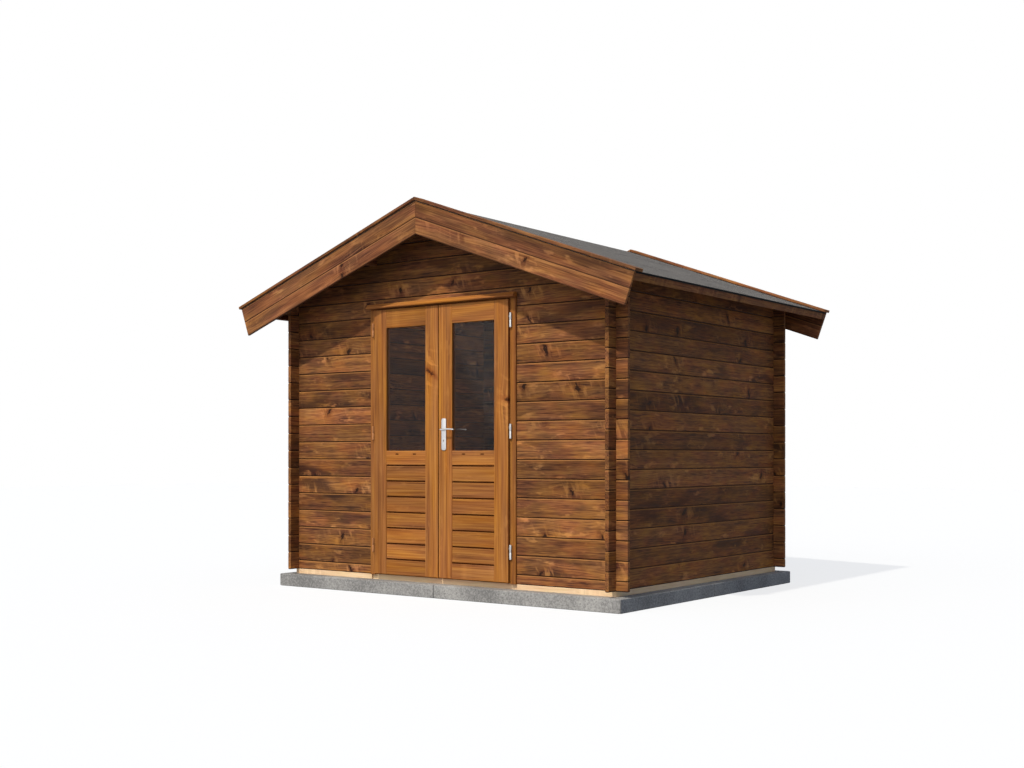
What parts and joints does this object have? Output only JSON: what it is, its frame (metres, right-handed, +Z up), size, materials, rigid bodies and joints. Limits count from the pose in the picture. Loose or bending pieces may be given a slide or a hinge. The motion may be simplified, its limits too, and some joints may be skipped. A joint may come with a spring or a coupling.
{
  "type": "wooden garden shed",
  "caption": "Log-corner garden shed of stained interlocking boards on a concrete kerb plinth, with a felted gable roof and a half glazed double door that swings outward.",
  "frame": {"origin": "middle of the plinth's underside, on the ground", "axes": "+X along the front to the right of someone facing the door, +Y to the back, +Z up; the door faces -Y"},
  "size_m": [3.456, 2.858, 2.7037],
  "materials": {
    "concrete": "cast concrete kerb, fine pores",
    "raw_timber": "planed, untreated softwood",
    "wall_timber": "brown stain, grain, knots and dark smudges showing",
    "roof_timber": "brown stain, planed",
    "door_timber": "orange brown stain, satin",
    "roofing_felt": "bitumen felt with grey mineral grit",
    "door_glass": "clear single pane",
    "door_metal": "satin silver"
  },
  "bodies": {
    "shed": {"plinth_front": "concrete", "plinth_rear": "concrete", "plinth_left": "concrete", "plinth_right": "concrete", "base_beams_ends": "raw_timber", "base_beams_sides": "raw_timber", "floor_joists": "raw_timber", "floor_boards": "raw_timber", "front_wall_left": "wall_timber", "front_wall_right": "wall_timber", "front_wall_lintel": "wall_timber", "front_gable": "wall_timber", "rear_wall": "wall_timber", "left_wall": "wall_timber", "right_wall": "wall_timber", "ridge_purlin": "roof_timber", "side_purlins": "roof_timber", "roof_boards_left": "roof_timber", "roof_boards_right": "roof_timber", "roof_felt_left": "roofing_felt", "roof_felt_right": "roofing_felt", "eave_laths": "roof_timber", "front_barge_boards": "roof_timber", "rear_barge_boards": "roof_timber", "front_cap_strips": "roof_timber", "rear_cap_strips": "roof_timber", "door_jambs": "door_timber", "door_head": "door_timber", "door_stops": "door_timber", "door_threshold": "door_timber", "door_drip_board": "door_timber", "hinge_pins_left": "door_metal", "hinge_pins_right": "door_metal"},
    "left_leaf": {"left_stiles": "door_timber", "left_rails": "door_timber", "left_panel": "door_timber", "left_glass": "door_glass", "left_beads": "door_timber", "left_knuckles": "door_metal"},
    "right_leaf": {"right_stiles": "door_timber", "right_rails": "door_timber", "right_panel": "door_timber", "right_glass": "door_glass", "right_beads": "door_timber", "right_knuckles": "door_metal", "handle_plates": "door_metal"},
    "handle": {"handle_levers": "door_metal"}
  },
  "joints": [
    {"name": "left_leaf_swing", "type": "hinge", "parent": "shed", "child": "left_leaf", "pos_m": [-0.6095, -1.164, 1.061], "axis": [0, 0, -1], "range_deg": [0, 165]},
    {"name": "right_leaf_swing", "type": "hinge", "parent": "shed", "child": "right_leaf", "pos_m": [0.6095, -1.164, 1.061], "axis": [0, 0, 1], "range_deg": [0, 165]},
    {"name": "handle_turn", "type": "hinge", "parent": "right_leaf", "child": "handle", "pos_m": [0.0515, -1.151, 1.149], "axis": [0, 1, 0], "range_deg": [0, 40], "stiffness_Nm_per_rad": 1.5, "springref_deg": -22.92}
  ]
}
